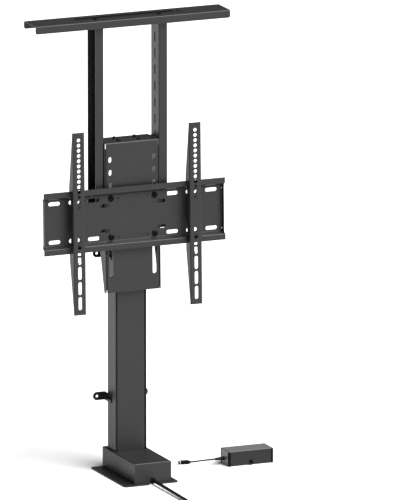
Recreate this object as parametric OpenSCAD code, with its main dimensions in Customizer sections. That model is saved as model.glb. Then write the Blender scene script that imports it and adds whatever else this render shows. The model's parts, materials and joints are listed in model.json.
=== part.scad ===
// Motorised television lift: a floor column that telescopes in three stages, a carriage with a
// slotted bracket and two hooked arms, a lid frame on top and a control box on the floor.
// Origin: on the floor in the column's middle plane, midway between the base plate's front and rear
// edges. +X is the viewer's right, +Y the wall, +Z up.

/* [Base] */
// Thickness of the base plate
base_plate_t = 3; // [3:0.5:6]
// Corner radius of the base plate
base_corner_r = 8; // [3:1:14]
// Width of the plate's flange on the left of the cover
base_flange_left = 31; // [20:1:45]
// Width of the plate's flange on the right of the cover
base_flange_right = 15; // [14:1:45]
// Depth of the plate in front of the cover
base_front_ledge = 11; // [6:1:20]
// Depth of the plate behind the cover
base_rear_ledge = 2; // [1:1:20]
// Diameter of the floor fixing holes
base_hole_d = 7; // [5:0.5:9]
// Distance of the floor fixing holes from the front and rear edges
base_hole_inset = 22; // [15:1:60]
// Gap from the column's side to the outside of the cover
cover_side_gap = 7; // [5:0.5:12]
// Depth of the motor bay in front of the column
motor_bay = 135; // [128:1:160]
// Gap behind the column to the outside of the cover
cover_rear_gap = 16; // [11:1:20]
// Height of the cover
cover_h = 49; // [48:1:60]
// Sheet thickness of the cover
cover_t = 1.5; // [1:0.25:2]
// Sheet thickness of the foot channel
foot_t = 3; // [2:0.5:4]

/* [Column] */
// Width of the outer column
column_w = 80; // [76:1:100]
// Depth of the outer column
column_d = 48; // [47:1:60]
// Height of the outer column's top edge above the floor
column_top = 710; // [650:10:800]
// Wall thickness of the outer column
column_t = 2; // [1.5:0.25:2.5]
// Sheet thickness of the front panel
panel_t = 1.5; // [1:0.25:2]
// Width of the shadow groove beside the front panel
groove_w = 2; // [1:0.25:3]
// Depth of the shadow groove
groove_d = 4.5; // [3:0.25:5]
// Width of the ribs that carry the front panel
rib_w = 10; // [6:1:12]

/* [Telescoping stages] */
// Gap between one stage and the next
guide_gap = 3; // [2:0.25:3]
// Wall thickness of the middle and inner tubes
tube_t = 2; // [1.5:0.25:2]
// Height of the slide shoes
shoe_h = 40; // [20:1:60]
// Height of the guide collars inside their tubes
collar_h = 26; // [15:1:40]
// Thickness of the guide collars' top flange
collar_flange_h = 2; // [1:0.5:4]
// Length of the inner tube above the column when lowered
inner_proud = 92.5; // [60:0.5:140]

/* [Drive] */
// Diameter of the lower screw
lower_screw_d = 10; // [8:0.5:10]
// Diameter of the hollow upper screw
upper_screw_d = 16; // [16:0.5:17]
// Wall thickness of the upper screw
upper_screw_t = 2.6; // [2:0.1:2.6]
// Height of the nuts
nut_h = 20; // [12:1:30]
// Height of the thrust bearings
bearing_h = 4; // [3:0.5:8]
// Diameter of the thrust bearings
bearing_d = 24; // [20:0.5:26]
// Height of the thrust collars on the screws
screw_collar_h = 5; // [3:0.5:8]
// Width of the gearbox
gearbox_w = 60; // [50:1:64]
// Height of the gearbox
gearbox_h = 40; // [38:1:42]
// Diameter of the motor
motor_d = 36; // [30:1:36]
// Length of the motor
motor_l = 104; // [80:1:104]
// Length of the motor's end cap
motor_cap_l = 12; // [8:1:14]

/* [Wall brackets] */
// Distance from the column's back to the wall
wall_gap = 18; // [12:1:40]
// Distance between the left and right wall holes
wall_hole_span = 122; // [116:1:160]
// Diameter of the wall holes
wall_hole_d = 6.5; // [5:0.5:8]
// Height of the lower wall holes above the floor
wall_low_z = 176; // [120:1:300]
// Distance from the lower to the upper wall holes
wall_rise = 350; // [200:5:380]
// Height of the bracket strap
wall_tab_h = 20; // [16:1:30]
// Sheet thickness of the wall brackets
wall_t = 2; // [1.5:0.25:3]

/* [Carriage] */
// Height of the carriage front plate
carriage_h = 363; // [330:1:420]
// Sheet thickness of the front plate
carriage_t = 2.5; // [2:0.25:3]
// Gap from the column's front to the front plate
carriage_gap = 4.5; // [3:0.25:8]
// Gap from the column's side to the side plate
carriage_side_gap = 29; // [29:0.5:40]
// Depth of the top flange
carriage_flange_d = 60; // [57:0.5:70]
// Lean of the front plate in degrees, its foot standing forward
plate_lean = 1.4; // [0:0.1:2]
// Sheet thickness of the side plates
side_t = 2; // [1.5:0.25:3]
// Width of the groove between the front plate and a side plate
side_groove_w = 2.5; // [1:0.25:4]
// Depth of the side plates at the bottom
side_low_d = 10; // [6:1:20]
// Depth of the side plates at the top
side_top_d = 51.5; // [42:0.5:57]
// Height over which the side plates taper
side_taper_h = 194; // [100:1:200]
// Distance of the slot columns from the side plates
slot_inset = 13; // [11:0.5:14]
// Width of the plate slots
plate_slot_w = 8.5; // [8.5:0.1:9.5]
// Height of the plate slots
plate_slot_h = 14; // [12:0.5:20]
// Pitch of the plate slots
plate_slot_pitch = 31; // [26:0.5:33]
// Width of the long slots
long_slot_w = 11; // [9:0.5:12]
// Distance of the long slots from the plate's bottom edge
long_slot_low = 37; // [25:1:80]

/* [TV bracket] */
// Length of the bracket
bracket_w = 467; // [440:1:600]
// Height of the bracket
bracket_h = 151; // [144:1:160]
// Sheet thickness of the bracket
bracket_t = 2; // [1.5:0.25:3]
// Height of a rail
rail_h = 13; // [11:0.5:14]
// Height of the joggle between rail and web
joggle_h = 7; // [5:0.5:7]
// Distance that the rails stand in front of the web
joggle_d = 12.5; // [11:0.5:16]
// Distance from the carriage's top to the bracket's centre
bracket_drop = 181; // [172:1:190]
// Diameter of the bracket bolts
bracket_bolt_d = 8; // [6:0.5:8]

/* [TV arms] */
// Width of an arm
arm_w = 30.5; // [26:0.5:40]
// Length of an arm
arm_len = 441; // [425:1:480]
// Height of an arm's top above the bracket's centre
arm_up = 219; // [215:1:240]
// Distance between the two arms
arm_spacing = 300; // [280:1:320]
// Sheet thickness of the arms
arm_t = 2; // [1.5:0.25:2.5]
// Distance that an arm stands in front of the rails
arm_stand = 17.5; // [16:0.5:30]
// Depth of an arm's sides at its two ends
arm_end_d = 4; // [3.5:0.5:14]
// Diameter of the round holes
arm_hole_d = 9; // [6:0.5:10]
// Pitch of the round holes
arm_hole_pitch = 12.5; // [11.5:0.5:12.5]
// Width of the arm slots
arm_slot_w = 9; // [6:0.5:10]
// Length of the arm slots
arm_slot_l = 31.5; // [20:0.5:33]
// Pitch of the arm slots
arm_slot_pitch = 36.6; // [35:0.2:38]

/* [Lid frame] */
// Height of the lid channel's top above the carriage's top
lid_rise = 300; // [200:5:400]
// Length of the lid channel
lid_w = 500; // [440:5:700]
// Depth of the lid channel
lid_d = 74; // [60:1:100]
// Height of the lid channel's sides
lid_h = 19; // [14:0.5:25]
// Sheet thickness of the lid channel
lid_t = 2; // [1.5:0.25:3]
// Length of the window in the lid channel
window_w = 268; // [220:2:300]
// Depth of the window in the lid channel
window_d = 40; // [30:1:44]
// Diameter of the lid fixing holes
lid_hole_d = 5.5; // [4:0.5:8]
// Distance between the front and rear lid fixing holes
lid_hole_span = 28; // [20:1:46]
// Distance of the lid fixing holes from the channel's ends
lid_hole_inset = 13; // [8:1:40]
// Width of an upright
upright_w = 21; // [16:0.5:30]
// Depth of an upright
upright_d = 50; // [40:1:54]
// Sheet thickness of the uprights
upright_t = 2; // [1.5:0.25:2.5]
// Length of an upright below the carriage's top
upright_lap = 217; // [190:1:240]
// Pitch of the slots in the uprights
upright_slot_pitch = 40; // [32:1:50]
// Diameter of the frame bolts
frame_bolt_d = 6; // [5:0.5:6.5]

/* [Control box] */
// Distance from the base plate's edge to the control box
box_distance = 169; // [120:1:300]
// Width of the control box
box_w = 116; // [112:1:150]
// Depth of the control box
box_d = 49; // [46:1:70]
// Height of the control box
box_h = 37; // [32:1:50]
// Sheet thickness of the control box
box_t = 1.5; // [1:0.25:2]
// Width of the black strips at its corners
box_strip_w = 5.5; // [4:0.25:7]
// Diameter of the button
button_d = 8; // [6:0.5:8]
// Distance that the button stands in front of the box
button_proud = 5; // [3:0.5:8]

/* [Cords] */
// Diameter of the motor cord
motor_cord_d = 8; // [7:0.5:8]
// Diameter of the pigtail
pigtail_d = 3.6; // [2.5:0.1:4.5]

/* [Hidden] */
$fn = 48;

// Clearances: parts that slide, parts that fit, screws in their holes, axial play of a bearing
run_gap = 0.3;
fit_gap = 0.1;
screw_gap = 0.25;
bearing_play = 0.1;
// Margin by which a cut runs past the face that it opens
past = 1;
// Flat faces round each sheet bend, and the inside radius of a bend
bend_steps = 5;
bend_r = 1;

// Colours of the finishes
charcoal = "#4d4d4d";
grey = "#6a6a6a";
black = "#1a1a1a";
zinc = "#a8a9ab";
steel = "#8d9094";
nylon = "#d8d5c8";
bronze = "#a5803f";
green = "#2c5a38";

// Base plate, cover and column in plan
cover_w = column_w + 2 * cover_side_gap;
cover_d = motor_bay + column_d + cover_rear_gap;
plate_w = cover_w + base_flange_left + base_flange_right;
plate_x = (base_flange_right - base_flange_left) / 2;
plate_right = cover_w / 2 + base_flange_right;
base_hole_x = (cover_w + min(base_flange_left, base_flange_right)) / 2;
plate_d = cover_d + base_front_ledge + base_rear_ledge;
plate_front = -plate_d / 2;
cover_front = plate_front + base_front_ledge;
cover_rear = cover_front + cover_d;
cover_top = base_plate_t + cover_h;
cover_bend_r = 2.5;
column_front = cover_front + motor_bay;
column_rear = column_front + column_d;
column_side = column_w / 2;

// Inside of the column behind the ribs, and the axis that the stages share
bore_w = column_w - 2 * column_t;
bore_front = column_front + groove_d + column_t;
bore_d = column_rear - column_t - bore_front;
axis_y = bore_front + bore_d / 2;
middle_w = bore_w - 2 * guide_gap;
middle_d = bore_d - 2 * guide_gap;
middle_bore_w = middle_w - 2 * tube_t;
middle_bore_d = middle_d - 2 * tube_t;
inner_w = middle_bore_w - 2 * guide_gap;
inner_d = middle_bore_d - 2 * guide_gap;
inner_bore_w = inner_w - 2 * tube_t;
inner_bore_d = inner_d - 2 * tube_t;

// Heights of the drive and the stages, from the floor up
foot_top = base_plate_t + foot_t;
foot_side_h = 34;
gearbox_top = foot_top + gearbox_h;
stage_step = 5;
lower_collar_z = gearbox_top + bearing_h + bearing_play;
middle_low = lower_collar_z + screw_collar_h + stage_step;
upper_bearing_z = middle_low + nut_h;
upper_collar_z = upper_bearing_z + bearing_h + bearing_play;
inner_low = upper_collar_z + screw_collar_h + stage_step;
nut_flange_h = 5;
middle_top = column_top - 2 * collar_flange_h;
cap_t = 4;
cap_spigot_h = 12;
cap_low = column_top + inner_proud;
cap_inset = 2;
cap_w = column_w - 2 * cap_inset;
cap_d = 2 * (column_rear - axis_y - cap_inset);
screw_seat = 17;
screw_short = 20;
lower_screw_low = foot_top + screw_seat;
lower_screw_top = column_top - screw_short;
upper_screw_top = cap_low - cap_spigot_h - stage_step;
screw_bore_gap = 0.08;

// Screws of the base
small_screw_d = 5;
small_head_d = 10;
small_head_h = 2.6;
side_head_d = 9;
small_hex = 3;
foot_screw_x = 22;
foot_screw_y = 13;
foot_side_y = 12;
foot_side_z = foot_top + 14;
foot_screw_l = foot_top + 12;
cover_screw_d = 4;
cover_screw_head_d = 7.6;
cover_screw_head_h = 2.2;
cover_screw_l = base_plate_t + cover_t + 3;
tab_l = 12;
tab_w = 8;
tab_front_y = cover_front + 17;
tab_rear_x = 26;

// Screws and foot of the wall brackets
wall_screw_y = [column_rear - 18, column_rear - 8];
wall_foot_y = column_rear - 24;

// Motor and gearbox
motor_z = foot_top + gearbox_h / 2;
gearbox_d = bore_d - 2 * run_gap - 2;
gearbox_front = axis_y - gearbox_d / 2;
motor_flange_t = 5;
motor_front = gearbox_front - motor_flange_t;

// Cord outlet in the cover's front wall
grommet_z = 8;
grommet_flange_d = 15;
grommet_neck_d = 12;
grommet_flange_t = 2;
notch_front_w = 28;
notch_rear_w = 18;
notch_depth = base_front_ledge + cover_t + grommet_flange_t + past;

// Carriage in plan and height
carriage_top = cap_low + cap_t + carriage_t;
carriage_low = carriage_top - carriage_h;
side_inner = column_side + carriage_side_gap;
side_outer = side_inner + side_t;
plate_half = side_inner - side_groove_w;
carriage_back = column_front - carriage_gap;
carriage_front = carriage_back - carriage_t;
function leaned_y(y, z) =
    carriage_front + (y - carriage_front) / cos(plate_lean) + (z - carriage_top) * tan(plate_lean);
slot_x = side_inner - slot_inset;
strip_t = 2;
strip_lap = 10;
strip_inner = slot_x - strip_lap;
strip_back = carriage_back + strip_t;
strip_end = 6;
top_screw_x = 26;
top_screw_y = 14;
top_head_h = 4;
plate_slots_up = 3;
plate_slots_down = 1;

// TV bracket
bracket_z = carriage_top - bracket_drop;
web_front = carriage_front - bracket_t;
rail_front = web_front - joggle_d;
rail_back = rail_front + bracket_t;
bracket_half_h = bracket_h / 2;
end_inset = 2;
end_flange_d = joggle_d - 2.5;
end_slope_h = 8;
end_outer = bracket_w / 2 - end_inset;
end_half_h = bracket_half_h - rail_h - joggle_h - end_slope_h;
wide_slot_l = 30;
wide_slot_w = 9.5;
wide_slots_x = [101, 202];
round_hole_d = 10;
round_holes_x = [142, 160];
short_slot_l = 24;
short_slot_w = 9;
short_slot_x = 72;
short_slot_z = 31;
pilot_d = 5;
pilot_x = 37.5;
bolt_head_d = 14;
bolt_row_gap = 2;
bracket_row = bracket_half_h - rail_h - joggle_h - bolt_head_d / 2 - bolt_row_gap;
long_slot_head = 10;
long_slot_top = bracket_z - bracket_row + long_slot_head;
bolt_head_h = 5;
hex_size = 5;
bracket_nut_across = 13;
bracket_nut_h = 6.5;

// TV arms: outline of the sides, measured from the bracket's centre
arm_front = rail_front - arm_stand;
arm_low = arm_up - arm_len;
hook_t = 6;
hook_back = rail_back + run_gap + hook_t;
hook_top = bracket_half_h + 9;
hook_drop = 12;
arm_flat_h = 6;
tongue_h = 15;
tongue_gap = 1.5;
arm_hole_count = 14;
arm_hole_first = 18;
arm_slot_count = 5;
arm_slot_first = 28;
lock_d = 5;
lock_y = rail_back + run_gap + lock_d / 2;
lock_tab_t = 3;
lock_tab_z = -bracket_half_h - 8;
lock_top = -bracket_half_h + 10;
lock_low = lock_tab_z - 16;
lock_head_d = 12;
lock_head_h = 8;

// Lid frame
lid_top = carriage_top + lid_rise;
lid_under = lid_top - lid_t;
tie_drop = 2;
tie_half = 127;
tie_margin = 2;
tie_top = lid_under - tie_drop;
upright_set = 2;
upright_front = carriage_front + upright_set;
upright_y = upright_front + upright_d / 2;
upright_x = side_outer + upright_w / 2;
upright_end = tie_top - lid_t;
upright_low = carriage_top - upright_lap;
upright_slot_l = 25;
upright_slot_w = 7;
slot_top_end = 30;
slot_low_end = 20;
frame_bolt_drop = 37;
frame_bolt_step = 2 * upright_slot_pitch;
frame_bolts_z = [for (k = [0, 1]) carriage_top - frame_bolt_drop - k * frame_bolt_step];
frame_head_d = 11;
frame_head_h = 3.3;
frame_nut_across = 10;
frame_hex = 4;
frame_nut_h = 5.2;
lid_flange_r = 5;

// Control box
box_left = plate_right + box_distance;
box_right = box_left + box_w;
box_front = -13;
box_rear = box_front + box_d;
box_under_lid = box_h - box_t;
button_x = box_left + 59;
button_z = 7;
button_travel = 1.5;
button_flange_d = button_d + 1.6;
button_flange_t = 1.4;
board_gap = box_t + button_flange_t + button_travel + 2 * run_gap;
board_z = 6;
board_t = 1.6;
standoff_d = 5;
relay_at = [15, 6, 0];
relay_size = [18, 14, 12];
capacitor_at = [72, 14, 0];
capacitor_d = 12;
capacitor_h = 16;
switch_size = [6, 4, 4];
relief_y = box_front + 30;
relief_z = 15;
relief_l = 22;
relief_d = 10;
relief_tip_d = 6;
relief_hole_d = 7;

// Motor cord: out of the grommet, down to the floor and straight on to the coil
cord_low = 5.6;
cord_straight = 5;
cord_fall = 240;
cord_run = 332;
cord_step = 18;
cord_out = [0, cover_front + cover_t + grommet_flange_t, grommet_z];
function eased(part) = part * part * (3 - 2 * part);
function cord_height(way) = grommet_z - (grommet_z - cord_low) * eased(min(1, way / cord_fall));
motor_cord_route = concat(
    [cord_out, cord_out - [0, cord_straight, 0]],
    [for (way = [cord_step : cord_step : cord_run - cord_step])
        [0, cord_out[1] - cord_straight - way, cord_height(way)]],
    [[0, cord_out[1] - cord_run, cord_low]]);

// Pigtail: straight out of its relief, then an S of two arcs that sinks to the floor as it goes back
connector_r = 5;
connector_l = 30;
pigtail_r = 25;
pigtail_swing = 72;
pigtail_back = 12;
pigtail_arc = 12;
pigtail_out = [box_left - relief_l, relief_y, relief_z];
pigtail_straight = [-pigtail_d, 0, 0];
function first_arc(angle) = pigtail_r * [-sin(angle), 1 - cos(angle)];
function second_arc(angle) = 2 * first_arc(pigtail_swing) - first_arc(angle);
pigtail_flat = concat(
    [for (angle = [0 : pigtail_arc : pigtail_swing]) first_arc(angle)],
    [for (angle = [pigtail_swing - pigtail_arc : -pigtail_arc : pigtail_back]) second_arc(angle)]);
pigtail_reach = pigtail_flat[len(pigtail_flat) - 1][1];
function pigtail_height(back) = (connector_r - relief_z) * back / pigtail_reach;
pigtail_bend = [for (p = pigtail_flat)
    pigtail_out + pigtail_straight + [p[0], p[1], pigtail_height(p[1])]];
pigtail_last = pigtail_d * [-cos(pigtail_back), sin(pigtail_back), 0];
pigtail_route = concat(
    [pigtail_out],
    pigtail_bend,
    [pigtail_bend[len(pigtail_bend) - 1] + pigtail_last]);
pigtail_end = pigtail_route[len(pigtail_route) - 1];
pigtail_way = pigtail_end - pigtail_route[len(pigtail_route) - 2];
connector_turn = atan2(pigtail_way[1], pigtail_way[0]);

// Coil of the motor cord: two layers that spiral in, climb, spiral out and come down again
coil_turns = 2;
coil_gap = 1;
coil_rings = 24;
coil_sides = 6;
coil_r = 52.6;
coil_start = motor_cord_route[len(motor_cord_route) - 1];
coil_entry = coil_start - [0, motor_cord_d, 0];
coil_pitch = motor_cord_d + coil_gap;
coil_centre = [coil_entry[0] - coil_r, coil_entry[1]];
coil_climb = coil_turns;
coil_out = coil_turns + 0.5;
coil_down = 2 * coil_turns;
coil_end = coil_down + 0.5;
// A strand that changes layer swings round its neighbour, at a distance that never falls below the pitch
swing_r = norm([coil_pitch / 2, coil_pitch]);
swing_angle = 90 + atan(1 / 2);
tie_t = 1.2;
tie_w = 10;
tie_slack = 1;
coil_tail_l = 30;
plug_l = 34;
plug_w = 18;
plug_h = 11;

// Height and radius of the coil's centre line at a number of turns
function climb_part(turn) = (turn - coil_climb) / (coil_out - coil_climb);
function climb_angle(turn) = 180 + (swing_angle - 180) * climb_part(turn);
function climb_r(turn) = coil_pitch + (swing_r - coil_pitch) * climb_part(turn);
function drop_angle(turn) = swing_angle * (1 + cos(180 * (turn - coil_down) / (coil_end - coil_down))) / 2;
function coil_radius(turn) =
    turn <= coil_climb ? coil_r - coil_pitch * turn :
    turn <= coil_out ? coil_r - coil_pitch * (turn - 1) + climb_r(turn) * cos(climb_angle(turn)) :
    turn <= coil_down ? coil_r - coil_pitch * (coil_climb - turn + coil_out) :
    coil_r - coil_pitch * (turn - coil_down) + swing_r * cos(drop_angle(turn));
function coil_height(turn) =
    turn <= coil_climb ? 0 :
    turn <= coil_out ? climb_r(turn) * sin(climb_angle(turn)) :
    turn <= coil_down ? coil_pitch :
    swing_r * sin(drop_angle(turn));
function coil_point(turn) = [
    coil_centre[0] + coil_radius(turn) * cos(-360 * turn),
    coil_centre[1] + coil_radius(turn) * sin(-360 * turn),
    coil_entry[2] + coil_height(turn)];
coil_points = [for (k = [0 : coil_end * coil_rings]) coil_point(k / coil_rings)];
coil_last = coil_points[len(coil_points) - 1];
coil_tail = coil_last + [0, coil_tail_l, 0];
coil_path = concat([coil_start], coil_points, [coil_tail]);
coil_least = min([for (a = [0 : len(coil_points) - 1]) for (b = [a + coil_rings / 2 : len(coil_points) - 1])
    norm(coil_points[a] - coil_points[b])]);
echo("least gap between the coil's turns", coil_least - motor_cord_d);

// Bent sheet: both edges of a strip of thickness t along the middle line given as path
function unit(a, b) = (b - a) / norm(b - a);
function left_of(d) = [-d[1], d[0]];
function turned(v, angle) = [v[0] * cos(angle) - v[1] * sin(angle), v[0] * sin(angle) + v[1] * cos(angle)];
function turn_angle(a, b) = atan2(a[0] * b[1] - a[1] * b[0], a * b);
function bend_edge(p, a, b, t, side) =
    let (angle = turn_angle(a, b), way = sign(angle), mid = bend_r + t / 2)
    let (centre = p - a * mid * tan(abs(angle) / 2) + left_of(a) * way * mid)
    [for (k = [0 : bend_steps])
        centre - turned(left_of(a) * way * (mid - side * way * t / 2), angle * k / bend_steps)];
function sheet_edge(path, t, side) =
    let (last = len(path) - 1)
    concat(
        [path[0] + left_of(unit(path[0], path[1])) * side * t / 2],
        [for (i = [1 : last - 1])
            each bend_edge(path[i], unit(path[i - 1], path[i]), unit(path[i], path[i + 1]), t, side)],
        [path[last] + left_of(unit(path[last - 1], path[last])) * side * t / 2]);
function backwards(list) = [for (i = [len(list) - 1 : -1 : 0]) list[i]];
module sheet_2d(path, t) {
    polygon(concat(sheet_edge(path, t, 1), backwards(sheet_edge(path, t, -1))));
}

// Flat outlines
module rounded_2d(w, d, r) {
    square([w - 2 * r, d], center = true);
    square([w, d - 2 * r], center = true);
    for (x = [-1, 1])
        for (y = [-1, 1])
            translate([x * (w / 2 - r), y * (d / 2 - r)]) circle(r);
}
module top_rounded_2d(w, h, r) {
    translate([-w / 2, 0]) square([w, h - r]);
    translate([r - w / 2, 0]) square([w - 2 * r, h]);
    for (x = [-1, 1])
        translate([x * (w / 2 - r), h - r]) circle(r);
}
module frame_2d(outer_w, outer_d, inner_w, inner_d) {
    difference() {
        square([outer_w, outer_d], center = true);
        square([inner_w, inner_d], center = true);
    }
}

// Extrusions of a flat (y, z) outline along X and of a flat (x, z) outline along Y
module along_x(low, high) {
    translate([low, 0, 0]) rotate([90, 0, 90]) linear_extrude(high - low) children();
}
module along_y(low, high) {
    translate([0, high, 0]) rotate([90, 0, 0]) linear_extrude(high - low) children();
}

// Round holes and slots along X and Y, and rods between two planes
module rod_x(low, high, y, z, d) {
    translate([low, y, z]) rotate([0, 90, 0]) cylinder(d = d, h = high - low);
}
module rod_y(low, high, x, z, d) {
    translate([x, low, z]) rotate([-90, 0, 0]) cylinder(d = d, h = high - low);
}
module rod_z(low, high, x, y, d) {
    translate([x, y, low]) cylinder(d = d, h = high - low);
}
module slot_y_wide(low, high, x, z, l, w) {
    for (side = [-1, 1])
        rod_y(low, high, x + side * (l - w) / 2, z, w);
    translate([x - (l - w) / 2, low, z - w / 2]) cube([l - w, high - low, w]);
}
module slot_y_high(low, high, x, z, l, w) {
    for (side = [-1, 1])
        rod_y(low, high, x, z + side * (l - w) / 2, w);
    translate([x - w / 2, low, z - (l - w) / 2]) cube([w, high - low, l - w]);
}
module slot_x_high(low, high, y, z, l, w) {
    for (side = [-1, 1])
        rod_x(low, high, y, z + side * (l - w) / 2, w);
    translate([low, y - w / 2, z - (l - w) / 2]) cube([high - low, w, l - w]);
}

// Fasteners along Z: head above z = 0, shank below
module button_bolt(d, l, head_d, head_h, hex) {
    rim_h = head_h * 0.45;
    top_d = head_d * 0.6;
    socket_floor = head_h * 0.4;
    difference() {
        union() {
            translate([0, 0, -l]) cylinder(d = d, h = l);
            cylinder(d = head_d, h = rim_h);
            translate([0, 0, rim_h]) cylinder(d1 = head_d, d2 = top_d, h = head_h - rim_h);
        }
        translate([0, 0, socket_floor]) cylinder(d = hex / cos(30), h = head_h, $fn = 6);
    }
}
module flat_bolt(d, l, head_d, head_h) {
    translate([0, 0, -head_h]) cylinder(d1 = d, d2 = head_d, h = head_h);
    translate([0, 0, -l]) cylinder(d = d, h = l - head_h / 2);
}
module flat_bolt_hole(d, l, head_d, head_h) {
    translate([0, 0, -head_h]) cylinder(d1 = d + 2 * screw_gap, d2 = head_d + 2 * screw_gap, h = head_h);
    translate([0, 0, -l]) cylinder(d = d + 2 * screw_gap, h = l);
}
module hex_nut(d, across, h) {
    difference() {
        cylinder(d = across / cos(30), h = h, $fn = 6);
        translate([0, 0, -past]) cylinder(d = d + 2 * fit_gap, h = h + 2 * past);
    }
}

// A closed tube of flat triangles along a path of points
function ring_frame(path, i) =
    let (a = path[max(i - 1, 0)], b = path[min(i + 1, len(path) - 1)], dir = unit(a, b))
    let (side = unit([0, 0, 0], cross(dir, [0, 0, 1])))
    [side, cross(side, dir)];
module swept_tube(path, d, sides) {
    rings = len(path);
    points = [for (i = [0 : rings - 1])
        let (axes = ring_frame(path, i))
        for (k = [0 : sides - 1])
            path[i] + (axes[0] * cos(360 * k / sides) + axes[1] * sin(360 * k / sides)) * d / 2];
    walls = [for (i = [0 : rings - 2]) for (k = [0 : sides - 1])
        let (a = i * sides + k, b = i * sides + (k + 1) % sides)
        each [[a, b, a + sides], [b, b + sides, a + sides]]];
    start = [for (k = [1 : sides - 2]) [0, k + 1, k]];
    last = (rings - 1) * sides;
    end = [for (k = [1 : sides - 2]) [last, last + k, last + k + 1]];
    polyhedron(points, concat(walls, start, end));
}

// Places that repeat
module at_foot_screws() {
    for (x = [-1, 1])
        for (y = [-1, 1])
            translate([x * foot_screw_x, axis_y + y * foot_screw_y, 0]) rotate([180, 0, 0]) children();
}
module at_cover_screws() {
    for (x = [-1, 1]) {
        translate([x * (cover_w / 2 - cover_t - tab_l / 2), tab_front_y, 0]) rotate([180, 0, 0]) children();
        translate([x * tab_rear_x, cover_rear - cover_t - tab_w / 2, 0]) rotate([180, 0, 0]) children();
    }
}
module on_axis() {
    translate([0, axis_y, 0]) children();
}

// Base plate: laser-cut steel with four floor holes and a notch under the cord
module base_plate() {
    color(charcoal) difference() {
        translate([plate_x, 0, 0]) linear_extrude(base_plate_t)
            rounded_2d(plate_w, plate_d, base_corner_r);
        for (x = [-1, 1])
            for (y = [-1, 1])
                rod_z(-past, base_plate_t + past, x * base_hole_x, y * (plate_d / 2 - base_hole_inset),
                    base_hole_d);
        at_foot_screws() flat_bolt_hole(small_screw_d, base_plate_t + past, small_head_d, small_head_h);
        at_cover_screws()
            flat_bolt_hole(cover_screw_d, base_plate_t + past, cover_screw_head_d, cover_screw_head_h);
        translate([0, plate_front, -past]) linear_extrude(base_plate_t + 2 * past)
            polygon([[-notch_front_w / 2, -past], [-notch_rear_w / 2, notch_depth],
                [notch_rear_w / 2, notch_depth], [notch_front_w / 2, -past]]);
    }
}

// Foot channel: bent steel inside the column's foot, under the gearbox
module foot_channel() {
    half = bore_w / 2 - fit_gap - foot_t / 2;
    middle = base_plate_t + foot_t / 2;
    color(zinc) difference() {
        along_y(axis_y - gearbox_d / 2, axis_y + gearbox_d / 2)
            sheet_2d([[-half, foot_top + foot_side_h], [-half, middle], [half, middle],
                [half, foot_top + foot_side_h]], foot_t);
        at_foot_screws() flat_bolt_hole(small_screw_d, foot_top + past, small_screw_d, small_head_h);
        for (y = [-1, 1])
            rod_x(-column_side, column_side, axis_y + y * foot_side_y, foot_side_z,
                small_screw_d + 2 * screw_gap);
    }
}
module foot_plate_screws() {
    color(zinc) at_foot_screws() flat_bolt(small_screw_d, foot_screw_l, small_head_d, small_head_h);
}
module foot_side_screws() {
    color(zinc)
        for (x = [-1, 1])
            for (y = [-1, 1])
                translate([x * column_side, axis_y + y * foot_side_y, foot_side_z]) rotate([0, x * 90, 0])
                    button_bolt(small_screw_d, column_t + foot_t, side_head_d, small_head_h, small_hex);
}

// Base cover: folded and welded sheet, open below, with four turned-in tabs
module base_cover() {
    color(charcoal) difference() {
        union() {
            difference() {
                translate([0, 0, base_plate_t]) intersection() {
                    along_y(cover_front, cover_rear) top_rounded_2d(cover_w, cover_h, cover_bend_r);
                    along_x(-cover_w / 2, cover_w / 2) translate([cover_front + cover_d / 2, 0])
                        top_rounded_2d(cover_d, cover_h, cover_bend_r);
                }
                translate([cover_t - cover_w / 2, cover_front + cover_t, base_plate_t - past])
                    cube([cover_w - 2 * cover_t, cover_d - 2 * cover_t, cover_h - cover_t + past]);
            }
            for (x = [-1, 1]) {
                translate([x * (cover_w / 2 - cover_t - tab_l / 2) - tab_l / 2, tab_front_y - tab_w / 2,
                    base_plate_t]) cube([tab_l + cover_t / 2, tab_w, cover_t]);
                translate([x * tab_rear_x - tab_l / 2, cover_rear - cover_t - tab_w, base_plate_t])
                    cube([tab_l, tab_w + cover_t / 2, cover_t]);
            }
        }
        translate([-column_side - run_gap, column_front - run_gap, cover_top - cover_h / 2])
            cube([column_w + 2 * run_gap, column_d + 2 * run_gap, cover_h]);
        rod_y(cover_front - past, cover_front + cover_t + past, 0, grommet_z, grommet_neck_d + 2 * fit_gap);
        translate([-grommet_neck_d / 2 - fit_gap, cover_front - past, base_plate_t - past])
            cube([grommet_neck_d + 2 * fit_gap, cover_t + 2 * past, grommet_z - base_plate_t + past]);
        at_cover_screws() translate([0, 0, -2 * base_plate_t])
            cylinder(d = cover_screw_d + 2 * screw_gap, h = 2 * base_plate_t);
    }
}
module base_cover_screws() {
    color(zinc) at_cover_screws()
        flat_bolt(cover_screw_d, cover_screw_l, cover_screw_head_d, cover_screw_head_h);
}

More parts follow.
